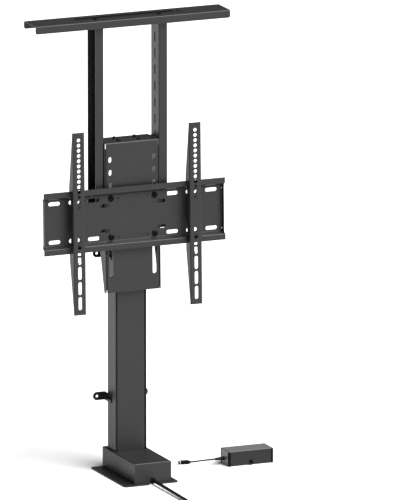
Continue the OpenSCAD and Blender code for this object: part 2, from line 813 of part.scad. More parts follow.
// Gearbox: cast housing with a flange for the motor and a bore for the lower screw
module gearbox_housing() {
    corner_r = 5;
    color(steel) difference() {
        union() {
            on_axis() translate([0, 0, foot_top]) linear_extrude(gearbox_h)
                rounded_2d(gearbox_w, gearbox_d, corner_r);
            rod_y(motor_front, gearbox_front + corner_r, 0, motor_z, motor_d);
        }
        on_axis() translate([0, 0, lower_screw_low - run_gap])
            cylinder(d = lower_screw_d + 2 * screw_bore_gap, h = gearbox_h);
        at_foot_screws() translate([0, 0, -foot_screw_l - past])
            cylinder(d = small_screw_d + 2 * fit_gap, h = foot_screw_l);
    }
}
module drive_motor() {
    rim = 2;
    neck = 8;
    color(zinc) {
        rod_y(motor_front - motor_l, motor_front - neck, 0, motor_z, motor_d);
        rod_y(motor_front - neck, motor_front, 0, motor_z, motor_d - rim);
    }
}
module motor_end_cap() {
    low = motor_front - motor_l - motor_cap_l;
    rim = 2;
    nose = 10;
    color(black) {
        rod_y(low + motor_cap_l / 2, low + motor_cap_l, 0, motor_z, motor_d - rim);
        rod_y(low, low + motor_cap_l / 2, 0, motor_z, motor_d - nose);
    }
}
module thrust_ring(z, bore) {
    on_axis() translate([0, 0, z]) difference() {
        cylinder(d = bearing_d, h = bearing_h);
        translate([0, 0, -past]) cylinder(d = bore, h = bearing_h + 2 * past);
    }
}
module screw_bearing() {
    color(steel) thrust_ring(gearbox_top, lower_screw_d + 2 * screw_bore_gap);
}

// Grommet: rubber bush with a groove that grips the cover's front wall
module cord_grommet() {
    color(black) difference() {
        union() {
            rod_y(cover_front - grommet_flange_t, cover_front, 0, grommet_z, grommet_flange_d);
            rod_y(cover_front - past / 2, cover_front + cover_t + past / 2, 0, grommet_z, grommet_neck_d);
            rod_y(cover_front + cover_t, cover_front + cover_t + grommet_flange_t, 0, grommet_z,
                grommet_flange_d);
        }
        rod_y(cover_front - past - grommet_flange_t, cover_front + cover_t + grommet_flange_t + past, 0,
            grommet_z, motor_cord_d + 2 * fit_gap);
    }
}
module motor_cord_run() {
    color(black) swept_tube(motor_cord_route, motor_cord_d, 10);
}
module motor_cord_coil() {
    color(black) swept_tube(coil_path, motor_cord_d, coil_sides);
}

// Tie: strap round the four strands where the coil's two layers lie side by side
module cord_tie() {
    inside_w = coil_pitch + motor_cord_d + 2 * tie_slack;
    inside_h = coil_pitch + motor_cord_d + 2 * (coil_entry[2] - motor_cord_d / 2 - tie_t);
    middle_z = coil_entry[2] + coil_pitch / 2;
    bundle_y = coil_centre[1] + coil_r - coil_pitch * 1.25;
    color(black) along_x(coil_centre[0] - tie_w / 2, coil_centre[0] + tie_w / 2)
        translate([bundle_y, middle_z])
            frame_2d(inside_w + 2 * tie_t, inside_h + 2 * tie_t, inside_w, inside_h);
}

// Connector on the motor cord's end: moulded block with a stepped nose
module cord_connector() {
    nose = 10;
    step = 4;
    corner_r = 2;
    color(black) translate([coil_tail[0], coil_tail[1], plug_h / 2]) {
        along_y(0, plug_l - nose) rounded_2d(plug_w, plug_h, corner_r);
        along_y(plug_l - nose, plug_l) rounded_2d(plug_w - step, plug_h - step, corner_r / 2);
    }
}

// Outer column: extruded profile, open in front, with ribs that carry the front panel
module outer_column() {
    rib_front = column_front + groove_d;
    color(charcoal) difference() {
        translate([0, 0, base_plate_t]) linear_extrude(column_top - base_plate_t) {
            translate([-column_side, column_rear - column_t]) square([column_w, column_t]);
            for (x = [-column_side, column_side - column_t])
                translate([x, column_front]) square([column_t, column_d]);
            for (x = [-column_side, column_side - column_t - rib_w])
                translate([x, rib_front]) square([column_t + rib_w, column_t]);
        }
        for (y = [-1, 1])
            rod_x(-column_w, column_w, axis_y + y * foot_side_y, foot_side_z, small_screw_d + 2 * screw_gap);
        for (z = [wall_low_z, wall_low_z + wall_rise])
            for (y = wall_screw_y)
                rod_x(-column_w, column_w, y, z, small_screw_d + 2 * screw_gap);
    }
}
module column_front_panel() {
    half = column_side - column_t - groove_w - panel_t / 2;
    rib_front = column_front + groove_d;
    low = cover_top - cover_t;
    color(charcoal) translate([0, 0, low]) linear_extrude(column_top - low)
        sheet_2d([[-half, rib_front], [-half, column_front + panel_t / 2],
            [half, column_front + panel_t / 2], [half, rib_front]], panel_t);
}

// Guide collar: nylon ring in a tube's top, with a flange on its edge
module guide_collar(top, tube_bore_w, tube_bore_d, inside_w, inside_d) {
    translate([0, 0, top - collar_h]) linear_extrude(collar_h)
        frame_2d(tube_bore_w - 2 * fit_gap, tube_bore_d - 2 * fit_gap, inside_w + 2 * run_gap,
            inside_d + 2 * run_gap);
}
module outer_guide_collar() {
    color(black) {
        on_axis() guide_collar(column_top, bore_w, bore_d, middle_w, middle_d);
        translate([0, 0, column_top]) linear_extrude(collar_flange_h) difference() {
            translate([-column_side, column_front]) square([column_w, column_d]);
            translate([0, axis_y]) square([middle_w + 2 * run_gap, middle_d + 2 * run_gap], center = true);
        }
    }
}

// Wall brackets: bent straps from the column's side to the wall, round at the free end
module wall_bracket(side, z) {
    wall_y = column_rear + wall_gap;
    hole_x = wall_hole_span / 2;
    end_x = hole_x + wall_tab_h / 2;
    foot_x = column_side + wall_t / 2;
    back_y = wall_y - wall_t / 2;
    color(black) translate([0, 0, z]) mirror([side < 0 ? 1 : 0, 0, 0]) difference() {
        intersection() {
            translate([0, 0, -wall_tab_h / 2]) linear_extrude(wall_tab_h)
                sheet_2d([[foot_x, wall_foot_y], [foot_x, back_y], [end_x, back_y]], wall_t);
            along_y(wall_foot_y - past, wall_y + past) {
                translate([0, -wall_tab_h / 2]) square([hole_x, wall_tab_h]);
                translate([hole_x, 0]) circle(d = wall_tab_h);
            }
        }
        rod_y(wall_y - wall_t - past, wall_y + past, hole_x, 0, wall_hole_d);
        for (y = wall_screw_y)
            rod_x(column_side - past, column_side + wall_t + past, y, 0, small_screw_d + 2 * screw_gap);
    }
}
module wall_bracket_lower_left() {
    wall_bracket(-1, wall_low_z);
}
module wall_bracket_lower_right() {
    wall_bracket(1, wall_low_z);
}
module wall_bracket_upper_left() {
    wall_bracket(-1, wall_low_z + wall_rise);
}
module wall_bracket_upper_right() {
    wall_bracket(1, wall_low_z + wall_rise);
}
module wall_bracket_screws() {
    length = wall_t + column_t - fit_gap;
    color(black)
        for (x = [-1, 1])
            for (y = wall_screw_y)
                for (z = [wall_low_z, wall_low_z + wall_rise])
                    translate([x * (column_side + wall_t), y, z]) rotate([0, x * 90, 0])
                        button_bolt(small_screw_d, length, side_head_d, small_head_h, small_hex);
}

// Middle stage: tube, nut on the lower screw, slide shoe and top collar
module middle_tube() {
    color(charcoal) on_axis() translate([0, 0, middle_low]) linear_extrude(middle_top - middle_low)
        frame_2d(middle_w, middle_d, middle_bore_w, middle_bore_d);
}
module middle_nut() {
    color(bronze) on_axis() translate([0, 0, middle_low]) difference() {
        linear_extrude(nut_h)
            square([middle_bore_w - 2 * fit_gap, middle_bore_d - 2 * fit_gap], center = true);
        translate([0, 0, -past]) cylinder(d = lower_screw_d + 2 * run_gap, h = nut_h + 2 * past);
    }
}
module middle_slide_shoe() {
    color(nylon) on_axis() translate([0, 0, middle_low]) linear_extrude(shoe_h)
        frame_2d(bore_w - 2 * run_gap, bore_d - 2 * run_gap, middle_w + 2 * fit_gap, middle_d + 2 * fit_gap);
}
module middle_guide_collar() {
    color(black) on_axis() {
        guide_collar(middle_top, middle_bore_w, middle_bore_d, inner_w, inner_d);
        translate([0, 0, middle_top]) linear_extrude(collar_flange_h)
            frame_2d(middle_w, middle_d, inner_w + 2 * run_gap, inner_d + 2 * run_gap);
    }
}
module upper_bearing() {
    color(steel) thrust_ring(upper_bearing_z, lower_screw_d + 2 * run_gap);
}

// Screws: the lower one turns in the gearbox, the hollow upper one telescopes over it
module lower_screw() {
    tip = 2;
    color(steel) on_axis() {
        translate([0, 0, lower_screw_low])
            cylinder(d = lower_screw_d, h = lower_screw_top - tip - lower_screw_low);
        translate([0, 0, lower_screw_top - tip])
            cylinder(d1 = lower_screw_d, d2 = lower_screw_d - tip, h = tip);
        translate([0, 0, lower_collar_z]) cylinder(d = bearing_d - 2, h = screw_collar_h);
    }
}
module upper_screw() {
    length = upper_screw_top - upper_collar_z;
    color(steel) on_axis() translate([0, 0, upper_collar_z]) difference() {
        union() {
            cylinder(d = upper_screw_d, h = length);
            cylinder(d = bearing_d - 2, h = screw_collar_h);
        }
        translate([0, 0, -past]) cylinder(d = upper_screw_d - 2 * upper_screw_t, h = length + 2 * past);
    }
}

// Inner stage: tube, nut on the upper screw, slide shoe and the cap that carries the carriage
module inner_tube() {
    color(charcoal) on_axis() translate([0, 0, inner_low + nut_flange_h])
        linear_extrude(cap_low - inner_low - nut_flange_h)
            frame_2d(inner_w, inner_d, inner_bore_w, inner_bore_d);
}
module drive_nut() {
    color(bronze) on_axis() translate([0, 0, inner_low]) difference() {
        union() {
            linear_extrude(nut_h)
                square([inner_bore_w - 2 * fit_gap, inner_bore_d - 2 * fit_gap], center = true);
            linear_extrude(nut_flange_h) square([inner_w, inner_d], center = true);
        }
        translate([0, 0, -past]) cylinder(d = upper_screw_d + 2 * run_gap, h = nut_h + 2 * past);
    }
}
module inner_slide_shoe() {
    color(nylon) on_axis() translate([0, 0, inner_low + nut_flange_h]) linear_extrude(shoe_h)
        frame_2d(middle_bore_w - 2 * run_gap, middle_bore_d - 2 * run_gap, inner_w + 2 * fit_gap,
            inner_d + 2 * fit_gap);
}
module at_top_screws(z) {
    for (x = [-1, 1])
        for (y = [-1, 1])
            translate([x * top_screw_x, axis_y + y * top_screw_y, z]) children();
}
module inner_top_cap() {
    color(steel) difference() {
        on_axis() {
            translate([0, 0, cap_low]) linear_extrude(cap_t) square([cap_w, cap_d], center = true);
            translate([0, 0, cap_low - cap_spigot_h]) linear_extrude(cap_spigot_h + cap_t / 2)
                square([inner_bore_w - 2 * fit_gap, inner_bore_d - 2 * fit_gap], center = true);
        }
        at_top_screws(cap_low - past) cylinder(d = small_screw_d + 2 * fit_gap, h = cap_t + 2 * past);
    }
}
module top_screws() {
    color(black) at_top_screws(carriage_top)
        button_bolt(small_screw_d, carriage_t + cap_t - fit_gap, small_head_d, top_head_h, small_hex);
}

// Front plate and all that is bolted to it, turned by the plate's lean about its top front edge
module leaning() {
    translate([0, carriage_front, carriage_top]) rotate([-plate_lean, 0, 0])
        translate([0, -carriage_front, -carriage_top]) children();
}

// Carriage front plate: folded over the column's top, with two slot columns
module plate_slots(low, high, side) {
    x = side * slot_x;
    leaning() {
        for (k = [-plate_slots_down : plate_slots_up])
            slot_y_high(low, high, x, bracket_z + bracket_row + k * plate_slot_pitch, plate_slot_h,
                plate_slot_w);
        slot_y_high(low, high, x, (carriage_low + long_slot_low + long_slot_top) / 2,
            long_slot_top - carriage_low - long_slot_low, long_slot_w);
    }
}
module carriage_plate() {
    front = carriage_front + carriage_t / 2;
    top = carriage_top - carriage_t / 2;
    rear = carriage_front + carriage_flange_d;
    color(charcoal) difference() {
        along_x(-plate_half, plate_half)
            sheet_2d([[leaned_y(front, carriage_low), carriage_low], [leaned_y(front, top), top],
                [rear, top]], carriage_t);
        for (side = [-1, 1])
            plate_slots(carriage_front - past, carriage_back + past, side);
        at_top_screws(carriage_top - carriage_t - past)
            cylinder(d = small_screw_d + 2 * screw_gap, h = carriage_t + 2 * past);
    }
}

// Carriage side: tapered plate with a strip that runs behind the front plate and closes the groove
module carriage_side(side) {
    low_front = leaned_y(carriage_front, carriage_low);
    strip_low = carriage_low + strip_end;
    strip_high = carriage_top - carriage_t - 2 * strip_end;
    color(charcoal) difference() {
        mirror([side < 0 ? 1 : 0, 0, 0]) {
            along_x(side_inner, side_outer)
                polygon([[low_front, carriage_low], [low_front + side_low_d, carriage_low],
                    [carriage_front + side_top_d, carriage_low + side_taper_h],
                    [carriage_front + side_top_d, carriage_top], [carriage_front, carriage_top]]);
            leaning() translate([strip_inner, carriage_back, strip_low])
                cube([side_inner + side_t / 2 - strip_inner, strip_t, strip_high - strip_low]);
        }
        plate_slots(carriage_back - past, strip_back + past, side);
        for (z = frame_bolts_z)
            rod_x(-side_outer - past, side_outer + past, upright_y, z, frame_bolt_d + 2 * screw_gap);
    }
}
module carriage_side_left() {
    carriage_side(-1);
}
module carriage_side_right() {
    carriage_side(1);
}

// TV bracket: one sheet, joggled forward along both long edges to make the rails, with folded ends
module bracket_end_2d() {
    mid = end_outer - bracket_t / 2;
    web = web_front + bracket_t / 2;
    sheet_2d([[mid - 5 * bracket_t, web], [mid, web], [mid, web_front - end_flange_d]], bracket_t);
}
module bracket_end_cut_2d(foot) {
    inner = end_outer - bracket_t - bend_r;
    outer = bracket_w / 2 + past;
    polygon([[inner, -end_half_h], [outer, -foot], [outer, foot], [inner, end_half_h]]);
}
module tv_bracket() {
    web = web_front + bracket_t / 2;
    rail = rail_front + bracket_t / 2;
    foot = bracket_half_h - rail_h;
    low = rail_front - past;
    high = carriage_front + past;
    color(charcoal) leaning() translate([0, 0, bracket_z]) difference() {
        union() {
            difference() {
                along_x(-bracket_w / 2, bracket_w / 2)
                    sheet_2d([[rail, bracket_half_h], [rail, foot], [web, foot - joggle_h],
                        [web, joggle_h - foot], [rail, -foot], [rail, -bracket_half_h]], bracket_t);
                for (side = [0, 1])
                    mirror([side, 0, 0]) along_y(low, high) bracket_end_cut_2d(foot);
            }
            for (side = [0, 1])
                mirror([side, 0, 0]) translate([0, 0, -end_half_h]) linear_extrude(2 * end_half_h)
                    bracket_end_2d();
        }
        for (side = [-1, 1])
            for (row = [-1, 1]) {
                rod_y(low, high, side * slot_x, row * bracket_row, bracket_bolt_d + 2 * screw_gap);
                rod_y(low, high, side * pilot_x, row * bracket_row, pilot_d);
                slot_y_wide(low, high, side * short_slot_x, row * short_slot_z, short_slot_l, short_slot_w);
                for (x = wide_slots_x)
                    slot_y_wide(low, high, side * x, row * bracket_row, wide_slot_l, wide_slot_w);
                for (x = round_holes_x)
                    rod_y(low, high, side * x, row * bracket_row, round_hole_d);
            }
    }
}
module at_bracket_bolts(y) {
    leaning()
        for (side = [-1, 1])
            for (row = [-1, 1])
                translate([side * slot_x, y, bracket_z + row * bracket_row]) rotate([90, 0, 0]) children();
}
module bracket_bolts() {
    length = bracket_t + carriage_t + strip_t + bracket_nut_h + 2;
    color(black) at_bracket_bolts(web_front)
        button_bolt(bracket_bolt_d, length, bolt_head_d, bolt_head_h, hex_size);
}
module bracket_nuts() {
    color(zinc) at_bracket_bolts(strip_back + bracket_nut_h)
        hex_nut(bracket_bolt_d, bracket_nut_across, bracket_nut_h);
}

// Lid uprights: channels open outwards, bolted to the carriage sides through their slots
module lid_upright(side) {
    web = side_outer + upright_t / 2;
    outer = side_outer + upright_w;
    rear = upright_front + upright_d - upright_t / 2;
    first = frame_bolts_z[0];
    up = floor((upright_end - slot_top_end - first) / upright_slot_pitch);
    down = floor((first - upright_low - slot_low_end) / upright_slot_pitch);
    color(charcoal) mirror([side < 0 ? 1 : 0, 0, 0]) difference() {
        union() {
            translate([0, 0, upright_low]) linear_extrude(upright_end - upright_low)
                sheet_2d([[outer, upright_front + upright_t / 2], [web, upright_front + upright_t / 2],
                    [web, rear], [outer, rear]], upright_t);
            translate([side_outer + bend_r, upright_front + bend_r, upright_end - upright_t])
                cube([upright_w - bend_r, upright_d - 2 * bend_r, upright_t]);
        }
        for (k = [-down : up])
            slot_x_high(side_outer - past, side_outer + upright_t + past, upright_y,
                first + k * upright_slot_pitch, upright_slot_l, upright_slot_w);
        rod_z(upright_end - upright_t - past, upright_end + past, upright_x, upright_y,
            frame_bolt_d + 2 * screw_gap);
    }
}
module lid_upright_left() {
    lid_upright(-1);
}
module lid_upright_right() {
    lid_upright(1);
}

// Lid channel: inverted channel with a window, four lid holes and round lower corners
module lid_channel() {
    front = upright_y - lid_d / 2;
    rear = upright_y + lid_d / 2;
    mid = lid_t / 2;
    color(charcoal) difference() {
        intersection() {
            along_x(-lid_w / 2, lid_w / 2)
                sheet_2d([[front + mid, lid_top - lid_h], [front + mid, lid_top - mid],
                    [rear - mid, lid_top - mid], [rear - mid, lid_top - lid_h]], lid_t);
            along_y(front - past, rear + past) translate([0, lid_top]) mirror([0, 1])
                top_rounded_2d(lid_w, lid_h, lid_flange_r);
        }
        translate([0, upright_y, lid_under - past]) linear_extrude(lid_t + 2 * past)
            rounded_2d(window_w, window_d, 3);
        for (x = [-1, 1])
            for (y = [-1, 1])
                rod_z(lid_under - past, lid_top + past, x * (lid_w / 2 - lid_hole_inset),
                    upright_y + y * lid_hole_span / 2, lid_hole_d);
    }
}

// Tie: shallow hat section under the window, which joins the uprights to the lid channel
module lid_tie_channel() {
    low = tie_top - lid_t / 2;
    high = low + tie_drop;
    inner = window_d / 2 + tie_margin;
    outer = lid_d / 2 - lid_t - bend_r - fit_gap;
    color(charcoal) difference() {
        along_x(-tie_half, tie_half) translate([upright_y, 0])
            sheet_2d([[-outer, high], [-inner - tie_drop, high], [-inner, low], [inner, low],
                [inner + tie_drop, high], [outer, high]], lid_t);
        for (x = [-1, 1])
            rod_z(tie_top - lid_t - past, tie_top + past, x * upright_x, upright_y,
                frame_bolt_d + 2 * screw_gap);
    }
}
module frame_bolts() {
    length = upright_t + side_t + frame_nut_h + 1;
    top_length = upright_t + lid_t + frame_nut_h + 1;
    color(black)
        for (side = [-1, 1]) {
            for (z = frame_bolts_z)
                translate([side * (side_outer + upright_t), upright_y, z]) rotate([0, side * 90, 0])
                    button_bolt(frame_bolt_d, length, frame_head_d, frame_head_h, frame_hex);
            translate([side * upright_x, upright_y, tie_top])
                button_bolt(frame_bolt_d, top_length, frame_head_d, frame_head_h, frame_hex);
        }
}
module frame_nuts() {
    color(zinc)
        for (side = [-1, 1]) {
            for (z = frame_bolts_z)
                translate([side * (side_inner - frame_nut_h), upright_y, z]) rotate([0, side * 90, 0])
                    hex_nut(frame_bolt_d, frame_nut_across, frame_nut_h);
            translate([side * upright_x, upright_y, upright_end - upright_t - frame_nut_h])
                hex_nut(frame_bolt_d, frame_nut_across, frame_nut_h);
        }
}

// TV arm: channel whose tapered sides hook over the upper rail and lean on the lower one
module arm_outline_2d() {
    flat_back = arm_front + arm_end_d;
    rest = rail_front - run_gap;
    hook_front = rail_back + run_gap;
    hook_roof = bracket_half_h + run_gap;
    tongue_top = -bracket_half_h - tongue_gap;
    polygon([[arm_front, arm_low], [flat_back, arm_low],
        [flat_back, arm_low + arm_flat_h], [hook_back, tongue_top - tongue_h],
        [hook_back, tongue_top], [rest, tongue_top], [rest, hook_roof], [hook_front, hook_roof],
        [hook_front, hook_roof - hook_drop], [hook_back, hook_roof - hook_drop], [hook_back, hook_top],
        [flat_back, arm_up - arm_flat_h], [flat_back, arm_up], [arm_front, arm_up]]);
}
module tv_arm(side) {
    half = arm_w / 2 - arm_t / 2;
    front = arm_front + arm_t / 2;
    rear = hook_back + past;
    cut_low = arm_front - past;
    cut_high = arm_front + arm_t + past;
    color(charcoal) leaning() translate([side * arm_spacing / 2, 0, bracket_z]) difference() {
        union() {
            intersection() {
                translate([0, 0, arm_low]) linear_extrude(arm_len)
                    sheet_2d([[-half, rear], [-half, front], [half, front], [half, rear]], arm_t);
                along_x(-arm_w / 2, arm_w / 2) arm_outline_2d();
            }
            translate([-half, rail_front, lock_tab_z - lock_tab_t])
                cube([2 * half, hook_back - rail_front, lock_tab_t]);
        }
        for (k = [0 : arm_hole_count - 1])
            rod_y(cut_low, cut_high, 0, arm_up - arm_hole_first - k * arm_hole_pitch, arm_hole_d);
        for (k = [0 : arm_slot_count - 1])
            slot_y_high(cut_low, cut_high, 0, arm_low + arm_slot_first + k * arm_slot_pitch,
                arm_slot_l, arm_slot_w);
        rod_z(lock_tab_z - lock_tab_t - past, lock_tab_z + past, 0, lock_y, lock_d + 2 * fit_gap);
    }
}
module tv_arm_left() {
    tv_arm(-1);
}
module tv_arm_right() {
    tv_arm(1);
}
module arm_lock_screw(side) {
    color(black) leaning() translate([side * arm_spacing / 2, lock_y, bracket_z]) {
        translate([0, 0, lock_low]) cylinder(d = lock_d, h = lock_top - lock_low);
        translate([0, 0, lock_low - lock_head_h]) cylinder(d = lock_head_d, h = lock_head_h);
    }
}
module arm_lock_screw_left() {
    arm_lock_screw(-1);
}
module arm_lock_screw_right() {
    arm_lock_screw(1);
}

// Control box: bent tray (front, floor, back), bent cover (top, ends) and strips in the corners
module control_box_tray() {
    mid = box_t / 2;
    color(charcoal) difference() {
        along_x(box_left + box_strip_w, box_right - box_strip_w)
            sheet_2d([[box_front + mid, box_under_lid], [box_front + mid, mid], [box_rear - mid, mid],
                [box_rear - mid, box_under_lid]], box_t);
        rod_y(box_front - past, box_front + box_t + past, button_x, button_z, button_d + 2 * run_gap);
    }
}
module control_box_cover() {
    mid = box_t / 2;
    color(grey) difference() {
        along_y(box_front, box_rear)
            sheet_2d([[box_left + mid, 0], [box_left + mid, box_h - mid], [box_right - mid, box_h - mid],
                [box_right - mid, 0]], box_t);
        at_box_corners() translate([-past, -past, -past])
            cube([box_strip_w + past, box_strip_w + past, box_under_lid + past]);
        rod_x(box_left - past, box_left + box_t + past, relief_y, relief_z, relief_hole_d + 2 * fit_gap);
    }
}
module at_box_corners() {
    translate([box_left, box_front, 0]) children();
    translate([box_right, box_front, 0]) mirror([1, 0, 0]) children();
    translate([box_left, box_rear, 0]) mirror([0, 1, 0]) children();
    translate([box_right, box_rear, 0]) mirror([1, 0, 0]) mirror([0, 1, 0]) children();
}
module control_box_corner_strips() {
    color(black) at_box_corners() cube([box_strip_w, box_strip_w, box_under_lid]);
}
module control_board() {
    inset = 8;
    low_x = box_left + inset;
    low_y = box_front + board_gap;
    wide = box_w - 2 * inset;
    deep = box_d - board_gap - inset;
    color(green) {
        translate([low_x, low_y, board_z]) cube([wide, deep, board_t]);
        for (x = [standoff_d, wide - standoff_d])
            for (y = [standoff_d, deep - standoff_d])
                translate([low_x + x, low_y + y, box_t]) cylinder(d = standoff_d, h = board_z - box_t);
        translate([low_x, low_y, board_z + board_t]) {
            translate(relay_at) cube(relay_size);
            translate(capacitor_at) cylinder(d = capacitor_d, h = capacitor_h);
            translate([button_x - low_x - switch_size[0] / 2, 0, 0]) cube(switch_size);
        }
    }
}

// Button: cap with a flange behind the wall, which keeps it in its hole
module pairing_button() {
    back = box_front + box_t + run_gap;
    color(black) {
        rod_y(box_front - button_proud, back + button_flange_t, button_x, button_z, button_d);
        rod_y(back, back + button_flange_t, button_x, button_z, button_flange_d);
    }
}

// Pigtail: tapered relief in the box's left end, and a moulded round connector on the cord's end
module pigtail_strain_relief() {
    flange_t = 1.5;
    color(black) translate([box_left, relief_y, relief_z]) rotate([0, -90, 0]) {
        translate([0, 0, -box_t - flange_t]) cylinder(d = relief_d, h = flange_t);
        translate([0, 0, -box_t - flange_t / 2]) cylinder(d = relief_hole_d, h = box_t + flange_t);
        cylinder(d1 = relief_d, d2 = relief_tip_d, h = relief_l);
    }
}
module pigtail_cord() {
    color(black) swept_tube(pigtail_route, pigtail_d, 8);
}
module pigtail_connector() {
    boot = 6;
    tip = 5;
    step = 1;
    color(black) translate(pigtail_end) rotate([0, 0, connector_turn]) rotate([0, 90, 0]) {
        cylinder(r1 = pigtail_d / 2 + step, r2 = connector_r - step, h = boot);
        translate([0, 0, boot]) cylinder(r = connector_r, h = connector_l - boot - tip);
        translate([0, 0, connector_l - tip]) cylinder(r = connector_r - step, h = tip);
    }
}

base_plate();
foot_channel();
foot_plate_screws();
foot_side_screws();
base_cover();
base_cover_screws();
gearbox_housing();
drive_motor();
motor_end_cap();
screw_bearing();
cord_grommet();
motor_cord_run();
motor_cord_coil();
cord_tie();
cord_connector();
outer_column();
column_front_panel();
outer_guide_collar();
wall_bracket_lower_left();
wall_bracket_lower_right();
wall_bracket_upper_left();
wall_bracket_upper_right();
wall_bracket_screws();
control_box_tray();
control_box_cover();
control_box_corner_strips();
control_board();
pigtail_strain_relief();
pigtail_cord();
pigtail_connector();
pairing_button();
middle_tube();
middle_nut();
middle_slide_shoe();
middle_guide_collar();
upper_bearing();
lower_screw();
upper_screw();
inner_tube();
inner_top_cap();
drive_nut();
inner_slide_shoe();
carriage_plate();
carriage_side_left();
carriage_side_right();
top_screws();
tv_bracket();
bracket_bolts();
bracket_nuts();
lid_upright_left();
lid_upright_right();
frame_bolts();
frame_nuts();
lid_channel();
lid_tie_channel();
tv_arm_left();
tv_arm_right();
arm_lock_screw_left();
arm_lock_screw_right();
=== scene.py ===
# Motorised television lift, lowered: a telescopic column on a base box, a carriage with a slotted
# bracket and two hooked arms, a lid frame on top and a small control box on the floor beside it.
import json
import math

import bmesh
import bpy
from mathutils import Matrix, Vector


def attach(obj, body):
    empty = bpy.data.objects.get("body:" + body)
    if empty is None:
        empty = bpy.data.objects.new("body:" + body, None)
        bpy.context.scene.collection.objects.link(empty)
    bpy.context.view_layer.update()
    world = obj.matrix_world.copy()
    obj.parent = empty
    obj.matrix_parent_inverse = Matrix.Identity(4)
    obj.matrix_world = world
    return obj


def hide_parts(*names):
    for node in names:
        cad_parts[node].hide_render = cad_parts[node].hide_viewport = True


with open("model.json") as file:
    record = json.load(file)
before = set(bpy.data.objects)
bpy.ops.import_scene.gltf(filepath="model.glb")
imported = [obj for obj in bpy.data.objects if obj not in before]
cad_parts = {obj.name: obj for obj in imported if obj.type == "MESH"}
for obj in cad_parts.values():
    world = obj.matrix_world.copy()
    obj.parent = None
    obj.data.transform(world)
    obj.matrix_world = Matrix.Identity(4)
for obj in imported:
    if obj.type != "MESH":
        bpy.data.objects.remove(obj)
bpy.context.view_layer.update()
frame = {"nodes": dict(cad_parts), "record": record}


# Camera: a long lens far away, a little to the left of the lift and above its middle, so that
# upright edges stay parallel as they do in the photograph.
VIEW_AZIMUTH = math.radians(-23.08)
VIEW_ELEVATION = math.radians(12.97)
VIEW_TARGET = Vector((0.179, 0.040, 0.526))
VIEW_HEIGHT = 1.1923
VIEW_END = 200
LENS_MM = 1000
SENSOR_MM = 36
scene = bpy.context.scene
view_back = Vector((math.sin(VIEW_AZIMUTH) * math.cos(VIEW_ELEVATION),
                    -math.cos(VIEW_AZIMUTH) * math.cos(VIEW_ELEVATION), math.sin(VIEW_ELEVATION)))
camera_data = bpy.data.cameras.new("camera")
camera_data.lens = LENS_MM
camera_data.sensor_fit = "VERTICAL"
camera_data.sensor_height = SENSOR_MM
camera_data.clip_end = VIEW_END
camera = bpy.data.objects.new("camera", camera_data)
camera.location = VIEW_TARGET + view_back * VIEW_HEIGHT * LENS_MM / SENSOR_MM
camera.rotation_euler = view_back.to_track_quat("Z", "Y").to_euler()
scene.collection.objects.link(camera)
scene.camera = camera


# Motor cord: the motor's black PVC lead, which leaves the base cover through a grommet and runs along
# the floor. The spare length lies in a two-layer coil, held by a strap, with its connector beside it.
def linear(hex_colour):
    """An sRGB hex colour as linear RGBA."""
    channels = [int(hex_colour[k:k + 2], 16) / 255 for k in (1, 3, 5)]
    return [c / 12.92 if c <= 0.04045 else ((c + 0.055) / 1.055) ** 2.4 for c in channels] + [1.0]


def add(tree, kind, values=(), links=(), **settings):
    """Adds a shader node with its settings, its constant sockets and the outputs that feed it."""
    made = tree.nodes.new(kind)
    for name, value in settings.items():
        setattr(made, name, value)
    for socket, value in dict(values).items():
        made.inputs[socket].default_value = value
    for socket, source in dict(links).items():
        tree.links.new(source, made.inputs[socket])
    return made


def new_material(name, **constants):
    """A material, its node tree, its shader with constant sockets set, and Object coordinates."""
    material = bpy.data.materials.new(name)
    material.use_nodes = True
    tree = material.node_tree
    shader = tree.nodes["Principled BSDF"]
    for socket, value in constants.items():
        shader.inputs[socket.replace("_", " ")].default_value = value
    return material, tree, shader, add(tree, "ShaderNodeTexCoord").outputs["Object"]


MM_IN_METRE = 1000


def per_mm(size):
    """Scale of a texture whose features are that many millimetres wide."""
    return MM_IN_METRE / size


def surface(tree, shader, tones, clouds, roughness, grain, relief):
    """Feeds a shader: clouds mix two tones, and a grain moves the roughness and the normal.

    The roughness is a least and a greatest value, the relief a strength and a depth in metres.
    """
    tone = add(tree, "ShaderNodeMix", {"A": linear(tones[0]), "B": linear(tones[1])},
               {"Factor": clouds.outputs["Fac"]}, data_type="RGBA")
    rough = add(tree, "ShaderNodeMapRange", {"To Min": roughness[0], "To Max": roughness[1]},
                {"Value": grain.outputs["Fac"]})
    bump = add(tree, "ShaderNodeBump", {"Strength": relief[0], "Distance": relief[1]},
               {"Height": grain.outputs["Fac"]})
    tree.links.new(tone.outputs["Result"], shader.inputs["Base Color"])
    tree.links.new(rough.outputs["Result"], shader.inputs["Roughness"])
    tree.links.new(bump.outputs["Normal"], shader.inputs["Normal"])


# Flexible PVC: extruded, with a satin skin that carries a long highlight, a faint drag grain and
# dust. The grain is drawn coarser than it is, so that it shows.
cord_pvc, tree, shader, place = new_material("black_flexible_pvc", IOR=1.53,
                                             Specular_IOR_Level=0.12)
drag = add(tree, "ShaderNodeTexNoise", {"Scale": per_mm(1.5), "Detail": 4}, {"Vector": place})
dust = add(tree, "ShaderNodeTexNoise", {"Scale": per_mm(14), "Detail": 3}, {"Vector": place})
surface(tree, shader, tones=("#0d0d0d", "#161616"), clouds=dust, roughness=(0.32, 0.44),
        grain=drag, relief=(0.1, 0.0002))

# The run from the grommet sinks to the height that the coil has on its strap.
MOTOR_CORD_D = 0.008
CORD_OUT = Vector((0, -0.0915, 0.008))
CORD_LOW = 0.0056
CORD_STRAIGHT = 0.005
CORD_FALL = 0.240
CORD_RUN = 0.332
CORD_STEP = 0.018
CORD_STEPS = 17


